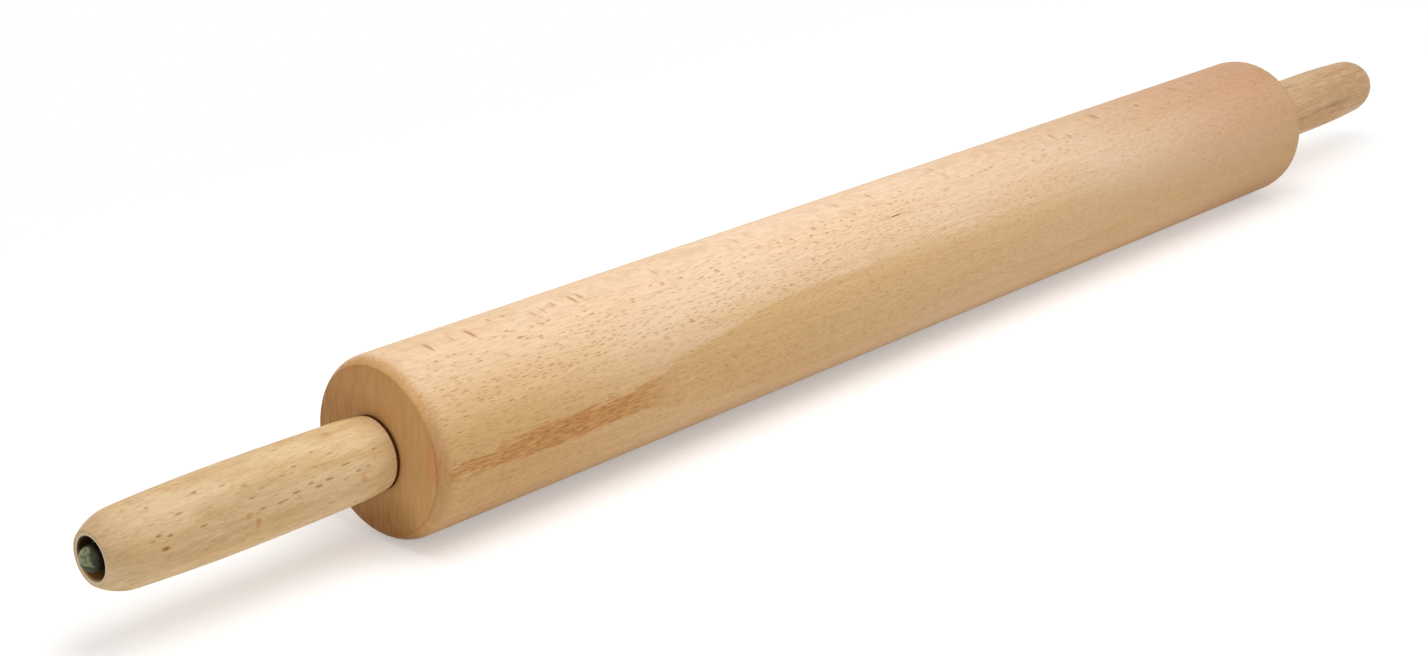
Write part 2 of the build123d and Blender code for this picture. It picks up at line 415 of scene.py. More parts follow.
leaning = in_the_tree(tree, ROLLER_RAYS_TURN)[0]
large = rays(tree, leaning, (5.6, 26.0, 0.85), widest=0.36, filled=0.45)
fine = rays(tree, leaning, (4.6, 15.0, 0.42), widest=0.44, filled=0.95, shift=(3.1, 1.7, 0.4))
marks = either(tree, calc(tree, "MULTIPLY", large, LARGE_STRENGTH), fine)
marks = both(tree, marks, step(tree, rings, VERY_TOP, (0.25, 1.0)))
marks = both(tree, marks, step(tree, along, FARTHER_ON, (1.0, 0.55)))
wood = tint(tree, marks, wood, RAY_TINT)
tell("rays as short dashes", tree)

# %% [markdown]
# ## Cross marks
#
# Just in front of the top the rays are cut nearly lengthwise, and a few of them are large enough to be told
# apart. A pattern would put them anywhere, so each one is placed one by one: a small lens in the wood,
# turned to face outwards, with its own size and strength.


# %% One spot, and several
SPOT_EDGE = (1.0, 0.35)
SPOT_DEEP = 2.0


def spot(tree, at, out, turn, half):
    """1 in a small lens at this place along the pin, out from its axis and round from the top.

    half is its half size along the pin, round it and into it. The turn is in degrees, all else in mm.
    """
    angle = math.radians(turn)
    centre = (at * MM, -out * math.sin(angle) * MM, out * math.cos(angle) * MM)
    size = [side * MM for side in half]
    made = node(tree, "Mapping", object_point(tree), centre, (angle, 0.0, 0.0), size, vector_type="TEXTURE")
    away = node(tree, "VectorMath", made.outputs[0], operation="LENGTH").outputs["Value"]
    return step(tree, away, SPOT_EDGE)


def spots(tree, out, places):
    """The strongest of several spots, each with its strength, place, turn, and two half sizes."""
    strongest = 0.0
    for strength, at, turn, half_along, half_round in places:
        one = spot(tree, at, out, turn, (half_along, half_round, SPOT_DEEP))
        strongest = either(tree, strongest, calc(tree, "MULTIPLY", one, strength))
    return strongest


# %% The roller's cross marks
# Each is how strong it is, where it lies along the pin and round from the top, and its half sizes.
ROLLER_RADIUS = 35.0
CROSS_TINT = rgb(0.72, 0.54, 0.40)
CROSS_MARKS = [
    (1.0, -277.6, 7.0, 1.3, 5.0), (0.5, -266.0, 5.0, 0.9, 4.0), (1.0, -257.8, 7.6, 1.4, 5.4),
    (0.7, -244.3, -1.0, 1.1, 2.2), (0.8, -237.8, 1.0, 1.5, 1.3), (0.9, -244.8, 17.0, 1.4, 1.0),
    (0.5, -227.3, 9.0, 1.3, 3.6), (0.5, -222.3, 9.0, 1.2, 3.8), (0.7, -215.6, 7.0, 1.3, 3.0),
    (1.0, -206.2, 8.4, 1.2, 4.6), (0.8, -202.1, 8.0, 1.2, 4.0), (0.5, -162.0, 9.0, 1.4, 3.6),
    (0.5, -112.0, 6.0, 1.4, 4.0), (0.45, -103.0, 3.5, 1.3, 3.2), (0.4, -47.2, 5.0, 1.4, 3.6),
    (0.8, -26.2, 7.0, 1.4, 2.8), (0.8, -9.7, 14.3, 1.3, 1.0), (0.7, -13.3, 26.7, 1.3, 1.0),
    (0.5, 23.7, 0.0, 1.5, 2.4), (0.5, 23.1, 14.5, 1.7, 2.8), (0.4, 90.4, 4.0, 1.6, 2.8),
    (0.7, 107.8, 12.0, 1.7, 4.4), (0.6, 117.0, 18.0, 1.8, 3.0), (0.7, 149.5, 4.0, 1.9, 5.0),
    (0.8, 182.3, 9.3, 2.2, 2.0), (0.5, 169.0, 38.0, 1.8, 1.2), (0.6, 220.8, 2.0, 2.3, 5.0),
    (0.5, 237.3, 4.0, 2.2, 4.2),
]

wood = tint(tree, spots(tree, ROLLER_RADIUS, CROSS_MARKS), wood, CROSS_TINT)
tell(f"{len(CROSS_MARKS)} cross marks", tree)

# %% [markdown]
# ## Grain
#
# Under all these marks every piece of beech has the same faint grain: rings, fibres, pores and fine
# lines, each a few parts in a hundred lighter or darker. One noise with much detail would be
# quicker, but it looks the same from near and far. So each layer has its real size along the
# grain, towards the bark and along the rings. The sum also gives the height for the bump. Darker
# grain is warmer too, which the three powers give.

# %% The layers of the grain
RING_WIDTH = 2.6
RING_WANDER = 5.0


def grain_layers(tree, point, bark):
    """Late wood in the rings, fibres, streaks, pores and fine lines, each from 0 to 1."""
    wander = cloud(tree, point, (140.0, 30.0, 18.0))
    ring = calc(tree, "MULTIPLY_ADD", wander, RING_WANDER, bark)
    turns = calc(tree, "FRACT", calc(tree, "DIVIDE", ring, RING_WIDTH))
    late = both(tree, step(tree, turns, (0.3, 0.95)), step(tree, turns, (1.0, 0.95)))
    fibre = cloud(tree, point, (7.0, 0.5, 0.4), 3.0)
    streaks = cloud(tree, point, (60.0, 3.0, 2.2), 3.0)
    pores = step(tree, cloud(tree, point, (1.6, 0.3, 0.22), 1.0), (0.56, 0.74))
    lines = step(tree, cloud(tree, point, (6.0, 7.0, 0.34), shift=(0.0, 3.0, 0.0)), (0.40, 0.66))
    return late, fibre, streaks, pores, lines


# %% Grain shared by every piece of beech
# The weights say how much lighter or darker each layer makes the wood. EVEN takes off what they
# add on average, so the colour stays the one that was asked for.
LAYER_WEIGHTS = (-0.035, 0.14, 0.16, -0.09, -0.13)
EVEN = -0.09
WARMTH = (1.0, 1.25, 1.6)
MARKS_SINK = -0.6


def grain(tree, point, bark, colour, contrast):
    """Rings, fibres, pores and fine lines over a colour. Gives it and a height for the bump."""
    layers = grain_layers(tree, point, bark)
    shade = EVEN
    for layer, weight in zip(layers, LAYER_WEIGHTS):
        shade = calc(tree, "MULTIPLY_ADD", layer, weight, shade)
    shade = calc(tree, "MULTIPLY_ADD", shade, contrast, 1.0)
    warm = [calc(tree, "POWER", shade, power) for power in WARMTH]
    grey = node(tree, "CombineXYZ", *warm).outputs[0]
    _, fibre, _, pores, lines = layers
    height = calc(tree, "MULTIPLY_ADD", calc(tree, "ADD", pores, lines), MARKS_SINK, fibre)
    return tint(tree, 1.0, colour, grey), height


# %% The roller's grain
# The roller shows three quarters of it, and only half of it at the far end.
GRAIN_FADES = (20.0, 280.0)
GRAIN_STRENGTH = (0.75, 0.5)

wood, height = grain(tree, point, bark, wood, step(tree, along, GRAIN_FADES, GRAIN_STRENGTH))
tell("grain", tree)

# %% [markdown]
# ## The end faces
#
# Wood that is cut across soaks up more oil and dirt and gives back less light, so the end faces
# are a deep orange-brown, with paler bands where the rings cross them. The faces could have a
# material of their own, but then its edge would be sharp. Here the tone is laid on by the way the
# surface faces, so the rounded shoulders fade into it as they do on the real pin.

# %% Tones of the end faces
END_FRONT_LIGHT = rgb(0.75, 0.415, 0.16)
END_DARK = rgb(0.54, 0.24, 0.058)
END_LOW_SHADE = rgb(0.37, 0.15, 0.022)
END_TOP = rgb(0.73, 0.375, 0.128)
END_BAND = rgb(0.93, 0.95, 0.84)
BACK_TO_FRONT = (-24.0, 28.0)
LOWER_HALF, BUT_THE_FRONT = (-6.0, -32.0), (28.0, 10.0)
UPPER_HALF = (8.0, 26.0)

# The faces are lighter in front and darker low down: painted light and shade over the end grain's own
# brown.
end_tone = blend(tree, step(tree, bark, BACK_TO_FRONT), END_DARK, END_FRONT_LIGHT)
low = both(tree, step(tree, rings, LOWER_HALF, (0.0, 0.9)), step(tree, bark, BUT_THE_FRONT))
end_tone = blend(tree, low, end_tone, END_LOW_SHADE)
end_tone = blend(tree, step(tree, rings, UPPER_HALF, (0.0, 0.6)), end_tone, END_TOP)
streaks = cloud(tree, point, (30.0, 0.9, 9.0), 4.0)
end_tone = blend(tree, step(tree, streaks, NOISE_RANGE, (0.0, 0.23)), end_tone, WOOD_WARM)
bands = cloud(tree, point, (60.0, 3.2, 22.0), shift=(0.0, 9.0, 0.0))
end_tone = tint(tree, step(tree, bands, HALF_AND_HALF), end_tone, END_BAND)
tell("tones of the end faces", tree)

# %% Lay them on where the wood is cut across
# `slope` is 0 on the side of the roller and 1 on its end faces. `soak_and_shade` is how much further and
# darker the end tone reaches over the near shoulder in front: partly end grain that soaks up more, partly
# painted shade where the shoulder turns away from the lamp.
SLOPE_SHADE_TINT = rgb(0.87, 0.87, 0.96)
SOAK_AND_SHADE_FRONT = (20.0, 33.0)
SOAK_AND_SHADE_SPAN = (0.0, 0.12)
LEFT_HALF = (40.0, -40.0)
SHOULDER_ENDS = (0.97, 0.8)

facing = node(tree, "SeparateXYZ", node(tree, "TexCoord").outputs["Normal"]).outputs[0]
slope = calc(tree, "ABSOLUTE", facing)
soak_and_shade = both(tree, step(tree, bark, SOAK_AND_SHADE_FRONT, SOAK_AND_SHADE_SPAN), step(tree, along, LEFT_HALF))
shaded = both(tree, step(tree, soak_and_shade, SOAK_AND_SHADE_SPAN), step(tree, slope, SHOULDER_ENDS))
end_tone = tint(tree, shaded, end_tone, SLOPE_SHADE_TINT)
ragged = wobble(tree, soak_and_shade, cloud(tree, point, (3.0, 0.9, 0.9), 3.0), 0.9)
soaked = calc(tree, "MULTIPLY_ADD", step(tree, slope, (0.0, 0.5)), ragged, slope)
wood = blend(tree, step(tree, soaked, (0.04, 0.62)), wood, end_tone)
tell("end faces and shoulders", tree)

# %% [markdown]
# ## The shoulders and the near face
#
# A closer look at the near end shows four small things: pits in the rounded shoulder, a paler top of it
# that is painted light, a rusty patch on the face, and a thin line of painted shade in the crease between
# the two. They could be left to the noise above, but it doesn't know where the shoulder is. The way the
# surface faces and the distance from the pin's own axis tell that.


# %% The pin's own directions
def about_the_axis(tree):
    """The point in mm, the same as (along the axis, out from it, angle round it), and how far out."""
    point = node(tree, "VectorMath", object_point(tree), TO_MM, operation="MULTIPLY").outputs[0]
    x, y, z = node(tree, "SeparateXYZ", point).outputs
    squares = [calc(tree, "MULTIPLY", side, side) for side in (y, z)]
    out = calc(tree, "SQRT", calc(tree, "ADD", *squares))
    return point, node(tree, "CombineXYZ", x, out, calc(tree, "ARCTAN2", z, y)).outputs[0], out


# %% Pits, and painted light on the top
PIT_TINT = rgb(0.88, 0.80, 0.70)
TOP_SLOPE_LIGHT_TINT = rgb(1.05, 1.11, 1.25)
SHOULDER_STARTS = (0.1, 0.4)
PITS_END = (0.97, 0.85)

starts = step(tree, slope, SHOULDER_STARTS)
pits = step(tree, cloud(tree, point, (1.8, 0.5, 0.7), shift=(7.0, 0.0, 0.0)), (0.54, 0.68))
pits = both(tree, pits, both(tree, starts, step(tree, slope, PITS_END)))
wood = tint(tree, pits, wood, PIT_TINT)
# The paler top of the near shoulder is painted light, where it turns up towards the lamp.
near_top = both(tree, step(tree, rings, (8.0, 22.0)), step(tree, along, LEFT_HALF))
upper_light = both(tree, both(tree, starts, step(tree, slope, SHOULDER_ENDS)), near_top)
wood = tint(tree, upper_light, wood, TOP_SLOPE_LIGHT_TINT)
tell("pits and a paler top on the shoulder", tree)

# %% A rusty patch, and painted shade in the crease
RUST_TINT = rgb(1.0, 0.87, 0.83)
RUST_AT = {"at": -301.0, "out": 30.5, "turn": 84.0, "half": (9.0, 11.0, 7.0)}
CREASE_SHADE_TINT = rgb(0.90, 0.83, 0.78)
CREASE_INSIDE = (31.2, 31.9)
CREASE_OUTSIDE = (32.7, 32.2)
FACE_FROM = 299.4

wood = tint(tree, spot(tree, **RUST_AT), wood, RUST_TINT)
out = about_the_axis(tree)[2]
# The crease line is painted shade.
crease = both(tree, step(tree, out, CREASE_INSIDE), step(tree, out, CREASE_OUTSIDE))
beyond = calc(tree, "SUBTRACT", calc(tree, "ABSOLUTE", along), FACE_FROM)
crease = both(tree, crease, calc(tree, "GREATER_THAN", beyond, 0.0))
wood = tint(tree, crease, wood, CREASE_SHADE_TINT)
tell("a rusty patch and the crease", tree)

# %% [markdown]
# ## The slit, and the last of the roller
#
# A short dark slit with thin tails lies open in the front of the roller, and a tiny knot sits in
# the near face. They are placed as the cross marks are, but nearly black and sunk a little. The
# bump could be drawn deeper to show up more, but sanded wood is smooth, so its real depth is given:
# a twentieth of a millimetre.

# %% The slit and the knot
WOOD_DARK = rgb(0.16, 0.075, 0.03)
SLIT = [(1.0, -26.0, 34.0, 5.5, 0.42), (0.45, -27.0, 34.0, 17.0, 0.3)]
KNOT = {"at": -301.0, "out": 31.1, "turn": 147.5, "half": (1.5, 1.1, 1.1)}

dark = either(tree, spots(tree, ROLLER_RADIUS, SLIT), spot(tree, **KNOT))
wood = blend(tree, dark, wood, WOOD_DARK)
height = calc(tree, "MULTIPLY_ADD", either(tree, marks, dark), MARKS_SINK, height)
tell("the slit and the knot", tree)

# %% Join it all to the shader
BUMP_STRENGTH = 0.6
WOOD_RELIEF = 0.05
ROLLER_ROUGH = (0.46, 0.56)


def lay_on(tree, shader, colour, height, roughness, relief):
    """Joins colour, roughness and bump to the shader. relief is the bump's real depth in mm."""
    bump = node(tree, "Bump")
    bump.inputs["Strength"].default_value = BUMP_STRENGTH
    bump.inputs["Distance"].default_value = relief * MM
    put(tree, bump.inputs["Height"], height)
    put(tree, shader.inputs["Base Color"], colour)
    put(tree, shader.inputs["Roughness"], roughness)
    put(tree, shader.inputs["Normal"], bump.outputs[0])


lay_on(tree, shader, wood, height, step(tree, patch, NOISE_RANGE, ROLLER_ROUGH), WOOD_RELIEF)
tell("the roller's finish is done", tree)

# %% [markdown]
# ## The handles' beech
#
# The handles are the same wood, but smaller, greyer from hands and flour, and with longer rays that
# stand further apart. Their bark side lay nearer the top. The roller's finish could be used again
# as it is, but its tongue and far end belong to the roller's own places. So the handles share the
# grain, the rays and the spots, and get tones of their own.

# %% Start the handles' beech
HANDLE_SHINE = 0.2
HANDLE_BARK = 62.0
HANDLE_PALE = rgb(0.83, 0.595, 0.34)
HANDLE_WARM = rgb(0.75, 0.50, 0.25)

handle_beech, tree, shader = new_material("handle_beech", roughness=0.5, specular=HANDLE_SHINE)
point, along, bark, _ = in_the_tree(tree, HANDLE_BARK)
patch = cloud(tree, point, (60.0, 14.0, 9.0), shift=(0.0, 3.0, 5.0))
wood = blend(tree, step(tree, patch, HALF_AND_HALF), HANDLE_PALE, HANDLE_WARM)
tell(f"the handles' bark lay {HANDLE_BARK:g} degrees round from the top", tree)

# %% Mottle, and painted light and shade
# The underside is painted a little lighter and the middle of the near handle a little darker in front, as
# painted light and shade.
HANDLE_RADIUS = 15.3
UNDERSIDE_LIGHT_TINT = rgb(1.09, 1.09, 1.03)
UNDERSIDE = (1.0, -12.0)
MOTTLE_TINT = rgb(0.94, 0.92, 0.89)
ROOT_TINT = rgb(1.02, 1.02, 1.02)
ROOT = (345.0, 312.0)
FRONT_SHADE_TINT = rgb(0.91, 0.90, 0.87)
FRONT_SHADE_SPOT = {"at": -366.0, "out": HANDLE_RADIUS, "turn": 58.0, "half": (30.0, 7.0, 5.0)}

pin_point, _, out = about_the_axis(tree)
above = node(tree, "SeparateXYZ", pin_point).outputs[2]
length = calc(tree, "ABSOLUTE", along)
wood = tint(tree, step(tree, above, UNDERSIDE), wood, UNDERSIDE_LIGHT_TINT)
mottle = cloud(tree, point, (9.0, 2.6, 2.2), shift=(0.0, 5.0, 1.0))
wood = tint(tree, step(tree, mottle, (0.38, 0.64)), wood, MOTTLE_TINT)
wood = tint(tree, step(tree, length, ROOT), wood, ROOT_TINT)
wood = tint(tree, spot(tree, **FRONT_SHADE_SPOT), wood, FRONT_SHADE_TINT)
tell("mottled and handled wood", tree)

# %% The right-hand handle
# It was cut from another board: rosier, and streaked with darker veins.
RIGHT_TINT = rgb(1.04, 0.95, 0.92)
VEIN_TINT = rgb(0.78, 0.72, 0.64)
MIDDLE = (-1.0, 1.0)

right = step(tree, along, MIDDLE)
wood = tint(tree, right, wood, RIGHT_TINT)
veins = step(tree, cloud(tree, point, (44.0, 3.0, 1.7), shift=(5.0, 0.0, 0.0)), (0.50, 0.72))
wood = tint(tree, both(tree, veins, right), wood, VEIN_TINT)
tell("veins in the right-hand handle", tree)

# %% [markdown]
# ## Dashes and stains
#
# The near handle is seen closest, and its longest rays and its few brown stains can be told apart.
# A pattern alone would look right but be wrong in every place, and listed dashes alone would leave the back
# bare. So there are both: a soft pattern all round, and on it the dashes that are placed one by one.

# %% Dashes and stains of the near handle
# Each is how strong it is, where it lies along the pin and round from the top, and its half sizes.
STAINS = [
    (1.0, -368.0, 81.0, 2.4, 1.3), (1.0, -364.9, 94.0, 1.6, 2.6), (0.8, -318.6, 90.0, 2.0, 3.0),
    (0.7, -409.0, 12.0, 2.6, 2.0), (0.7, -401.7, 84.0, 2.2, 1.4), (0.5, -338.7, -7.0, 7.0, 3.0),
    (0.6, -325.4, 12.0, 4.5, 2.4), (0.5, -390.1, -1.0, 5.0, 2.6),
]
DASHES = [
    (1.0, -347.9, 74.3, 2.8, 0.55), (1.0, -338.3, 77.4, 2.5, 0.55), (0.9, -333.4, 73.5, 2.7, 0.55),
    (0.8, -341.3, 70.2, 2.2, 0.55), (0.9, -354.9, 79.4, 2.2, 0.55), (0.8, -352.9, 78.9, 2.1, 0.46),
    (0.8, -362.4, 78.4, 2.2, 0.55), (0.7, -365.4, 61.4, 2.0, 0.55), (0.9, -325.1, 63.0, 3.1, 0.46),
    (0.8, -320.6, 76.9, 1.7, 0.55), (0.6, -316.0, 75.6, 1.4, 0.64), (0.7, -345.0, 42.3, 2.0, 0.55),
    (0.6, -350.9, 48.1, 2.2, 0.46), (0.7, -366.1, 43.0, 2.0, 0.46), (0.5, -360.3, 54.1, 1.8, 0.64),
    (0.6, -337.6, 52.2, 1.7, 0.46), (0.6, -329.3, 42.2, 2.2, 0.46), (0.5, -335.5, 31.6, 1.5, 0.64),
    (0.7, -311.4, 57.0, 2.0, 0.46), (0.5, -326.6, 81.2, 1.7, 0.46), (0.9, -402.7, 64.9, 1.8, 0.74),
    (0.8, -405.3, 69.5, 1.7, 0.64), (0.9, -398.7, 69.3, 1.8, 0.64), (1.0, -401.1, 83.8, 2.2, 0.92),
    (0.7, -385.8, 72.6, 2.1, 0.55), (0.8, -383.8, 27.9, 1.7, 0.74), (0.8, -393.1, 47.3, 2.5, 0.55),
    (0.7, -401.6, 22.8, 1.4, 0.74), (0.6, -373.4, 33.1, 2.2, 0.55),
]
print("dashes:", len(DASHES), "stains:", len(STAINS))

# %% Lay them on
HANDLE_RAY_TINT = rgb(0.55, 0.41, 0.28)
STAIN_TINT = rgb(0.90, 0.68, 0.48)
PATTERN_STRENGTH = 0.5
FAINTER_RIGHT = -0.6

large = rays(tree, point, (7.5, 14.0, 0.95), widest=0.36, filled=0.8, shift=(1.0, 2.0, 3.0))
fine = rays(tree, point, (4.4, 9.0, 0.55), widest=0.38, filled=0.85, shift=(3.1, 1.7, 0.4))
marks = calc(tree, "MULTIPLY", either(tree, large, fine), PATTERN_STRENGTH)
marks = both(tree, marks, calc(tree, "MULTIPLY_ADD", right, FAINTER_RIGHT, 1.0))
marks = either(tree, marks, spots(tree, HANDLE_RADIUS, DASHES))
wood = tint(tree, marks, wood, HANDLE_RAY_TINT)
fleck = cloud(tree, point, (1.6, 0.8, 0.8))
stain = both(tree, spots(tree, HANDLE_RADIUS, STAINS), step(tree, fleck, (0.3, 0.6), (0.35, 1.0)))
wood = tint(tree, stain, wood, STAIN_TINT)
wood, height = grain(tree, point, bark, wood, step(tree, along, MIDDLE, (0.7, 1.0)))
height = calc(tree, "MULTIPLY_ADD", marks, MARKS_SINK, height)
tell("rays, stains and grain", tree)

# %% [markdown]
# ## The end holes
#
# The rim of each end hole is painted pale, as a painted highlight. Inside, nothing was ever sanded or
# oiled, and dirt gathers, so the wood goes brown. Away from the mouth and towards the top of the hole it
# goes nearly black, which is painted shade: shadow alone would leave the hole too bright in a room that is
# lit from all round. So two more tones are laid on, by the distance from the axis and the depth in the
# hole.

# %% Rim and hole
HANDLE_NOSE = 420.2
RIM_HIGHLIGHT = rgb(0.88, 0.69, 0.46)
HOLE_BROWN = rgb(0.42, 0.19, 0.035)
HOLE_SHADE = rgb(0.05, 0.02, 0.008)
RIM_ROUND_IT = (9.4, 8.3)
RIM_DEEP = (0.9, 0.3)
HOLE_WALL = (8.12, 7.8)
HOLE_DEEP = (3.0, 10.0)
HOLE_TOP = (-4.0, 2.0)
BROWNED, SHADE_SHARE = 0.85, 0.95
HANDLE_ROUGH = (0.44, 0.54)

# The pale rim is a painted highlight, and the near black deeper in and towards the top of the hole is
# painted shade.
depth = calc(tree, "SUBTRACT", HANDLE_NOSE, length)
rim_highlight = both(tree, step(tree, out, RIM_ROUND_IT), step(tree, depth, RIM_DEEP))
wood = blend(tree, rim_highlight, wood, RIM_HIGHLIGHT)
inside = step(tree, out, HOLE_WALL)
wood = blend(tree, calc(tree, "MULTIPLY", inside, BROWNED), wood, HOLE_BROWN)
shade_deep_or_top = either(tree, step(tree, depth, HOLE_DEEP), step(tree, above, HOLE_TOP))
hole_shade = both(tree, inside, calc(tree, "MULTIPLY", shade_deep_or_top, SHADE_SHARE))
wood = blend(tree, hole_shade, wood, HOLE_SHADE)
lay_on(tree, shader, wood, height, step(tree, patch, NOISE_RANGE, HANDLE_ROUGH), WOOD_RELIEF)
tell("the handles' finish is done", tree)

# %% [markdown]
# ## Steel
#
# All the metal is turned, drawn or pressed about the pin's own axis, so its marks are rings round
# the axis or lines along it. A picture of brushed metal would run one way across every piece. Here
# the noise is read in the axis's own directions, and each steel has marks of its own size.

# %% Turned, drawn and pressed steel
# Each is a pale and a dark tone, the size of its marks (along the axis and out from it in mm, round
# it in radians) and a roughness.
STEELS = {
    "axle_steel": (rgb(0.56, 0.56, 0.57), rgb(0.46, 0.46, 0.47), (40.0, 0.2, 0.06), 0.28),
    "washer_steel": (rgb(0.58, 0.58, 0.56), rgb(0.45, 0.45, 0.43), (0.3, 0.3, 30.0), 0.32),
    "bearing_steel": (rgb(0.62, 0.62, 0.63), rgb(0.54, 0.54, 0.55), (0.15, 0.15, 40.0), 0.14),
    "shield_steel": (rgb(0.52, 0.52, 0.53), rgb(0.43, 0.43, 0.44), (0.3, 0.25, 30.0), 0.3),
}
STEEL_PATCH = (3.0, 3.0, 3.0)
STEEL_RELIEF = 0.01


def steel(name, pale, dark, marks, roughness):
    """A steel with marks of this size, and its nodes."""
    made, tree, shader = new_material(name, roughness, metallic=1.0)
    point, polar, _ = about_the_axis(tree)
    lines = cloud(tree, polar, marks)
    patch = cloud(tree, point, STEEL_PATCH, 3.0)
    share = calc(tree, "ADD", calc(tree, "MULTIPLY", lines, 0.5), calc(tree, "MULTIPLY", patch, 0.5))
    colour = blend(tree, step(tree, share, HALF_AND_HALF), pale, dark)
    rough = step(tree, share, NOISE_RANGE, (roughness * 0.8, roughness * 1.25))
    lay_on(tree, shader, colour, lines, rough, STEEL_RELIEF)
    return made, tree


steels = {}
for name, look in STEELS.items():
    steels[name], tree = steel(name, *look)
    tell(name, tree)

# %% [markdown]
# ## The cap nuts
#
# Zinc plating dulls to a grey-green skin. Painted shade darkens the hexagon and most of the dome, where the
# end hole keeps the light off, apart from one lighter patch on its side where light gets in. A bright metal
# would mirror the white room, so the skin is mixed from two dull greys, and the painted shade from soft
# steps across the nut.

# %% The dull skin
SKIN_PALE = rgb(0.21, 0.22, 0.135)
SKIN_DARK = rgb(0.105, 0.14, 0.055)

nut_steel, tree, shader = new_material("nut_steel", roughness=0.42, metallic=1.0)
point, polar, out = about_the_axis(tree)
lines = cloud(tree, polar, (0.4, 0.4, 30.0))
patch = cloud(tree, point, (1.6, 1.6, 1.6), 3.0)
skin = blend(tree, step(tree, patch, (0.40, 0.62)), SKIN_PALE, SKIN_DARK)
tell("a dull skin", tree)

# %% The painted shade on it
# `turned_away` is below 0 on the lighter patch, in mm. It grows inwards, to the front and upwards, and
# `beside` keeps the patch to a band a little above the axis. The hexagon is darkened all over. All this
# darkening is painted shade.
NUT_SHADE = rgb(0.042, 0.04, 0.027)
DOME_MIDDLE = 419.15
INWARDS, TO_FRONT, UPWARDS = 0.67, -0.74, 0.25
RAGGED_ROUND, RAGGED_BESIDE = 2.5, 3.0
BAND_HEIGHT, BAND_HALF = 2.0, 2.6
HEXAGON = (4.6, 5.0)

x, y, z = node(tree, "SeparateXYZ", point).outputs
inwards = calc(tree, "SUBTRACT", DOME_MIDDLE, calc(tree, "ABSOLUTE", x))
turned_away = calc(tree, "MULTIPLY_ADD", inwards, INWARDS, calc(tree, "MULTIPLY", y, TO_FRONT))
turned_away = wobble(tree, turned_away, patch, RAGGED_ROUND)
turned_away = calc(tree, "MULTIPLY_ADD", z, UPWARDS, turned_away)
beside = calc(tree, "ABSOLUTE", calc(tree, "SUBTRACT", z, BAND_HEIGHT))
beside = wobble(tree, beside, patch, RAGGED_BESIDE)
turned_away = either(tree, turned_away, calc(tree, "SUBTRACT", beside, BAND_HALF))
painted_shade = either(tree, step(tree, turned_away, (-0.4, 1.2)), step(tree, out, HEXAGON))
painted_shade = both(tree, painted_shade, step(tree, patch, (0.42, 0.60), (0.94, 0.72)))
skin = blend(tree, painted_shade, skin, NUT_SHADE)
lay_on(tree, shader, skin, lines, step(tree, painted_shade, (0.0, 1.0), (0.36, 0.6)), STEEL_RELIEF)
tell("dirt on the nuts", tree)

# %% [markdown]
# ## The bearings' cages
#
# The crown cages are moulded nylon, milky and slightly mottled, with a soft sheen. One flat colour
# would pass from afar, but from near by moulded nylon is cloudy. So one fine speck goes into its
# colour, its sheen and its height.

# %% Moulded nylon
NYLON_PALE = rgb(0.62, 0.57, 0.44)
NYLON_DEEP = rgb(0.52, 0.47, 0.35)


def speckled(tree, shader, size, pale, dark, rough, relief):
    """Lays on a fine speck of this size in mm, from pale to dark and from smooth to rough."""
    speck = cloud(tree, about_the_axis(tree)[0], size, 3.0)
    colour = blend(tree, step(tree, speck, NOISE_RANGE), pale, dark)
    lay_on(tree, shader, colour, speck, step(tree, speck, NOISE_RANGE, rough), relief)


cage_nylon, tree, shader = new_material("cage_nylon", roughness=0.45)
speckled(tree, shader, (0.5, 0.5, 0.5), NYLON_PALE, NYLON_DEEP, rough=(0.4, 0.5), relief=0.02)
tell("milky nylon", tree)

# %% [markdown]
# ## The dark washers
#
# A wide washer of pressed fibre keeps each handle's root off the turning roller. Only its edge shows, as a
# thin dark line. Its near-black colour is painted shade: it stands in for the shadow in the gap, which
# would fade wherever light gets in. Pressed fibre is matt and mottled, so it gets the same kind of speck,
# nearly black and with hardly any shine.

# %% Pressed fibre
# Both tones are painted shade, near black for the shadow in the gap under the root.
GAP_SHADE_BLACK = rgb(0.06, 0.012, 0.002)
GAP_SHADE_BROWN = rgb(0.13, 0.036, 0.006)
FIBRE_SHINE = 0.03

washer_fibre, tree, shader = new_material("washer_fibre", roughness=0.7, specular=FIBRE_SHINE)
speckled(tree, shader, (0.4, 0.8, 0.8), GAP_SHADE_BLACK, GAP_SHADE_BROWN, rough=(0.65, 0.8), relief=0.03)
tell("dark fibre", tree)

# %% [markdown]
# ## Every piece gets its finish
#
# Each piece of the frame has a slot that names what it is made of. The finishes could be given to
# the pieces one by one, but the slots already say which goes where, so one loop does it.

# %% Give each piece its finish
finishes = {
    "roller_beech": roller_beech,
    "handle_beech": handle_beech,
    "nut_steel": nut_steel,
    "cage_nylon": cage_nylon,
    "washer_fibre": washer_fibre,
    **steels,
}
for name, piece in sorted(nodes.items()):
    slot = piece.material_slots[0].material.name.split(".")[0]
    piece.material_slots[0].material = finishes[slot]
    print(f"{name}: {slot}")

# %% [markdown]
# ## The floor
#
# The pin lies on a pale floor that keeps its soft shadow and turns white a little way off. A plain
# white floor in more light would do that too, but it would burn out the wood. So the floor is made
# brighter only where the camera, a mirror or a glass sees it, and lights the pin no more for that.

# %% Lay the floor
FLOOR_AT = cad_box[0][2]
FLOOR_HALF = 6.0

mesh = bmesh.new()
bmesh.ops.create_grid(mesh, x_segments=1, y_segments=1, size=FLOOR_HALF)
bmesh.ops.translate(mesh, vec=(0.0, 0.0, FLOOR_AT), verts=mesh.verts)
floor = bpy.data.objects.new("floor", bpy.data.meshes.new("floor"))
mesh.to_mesh(floor.data)
mesh.free()
scene.collection.objects.link(floor)
print("floor below the middle of the pin, mm:", round(-FLOOR_AT / MM, 1))


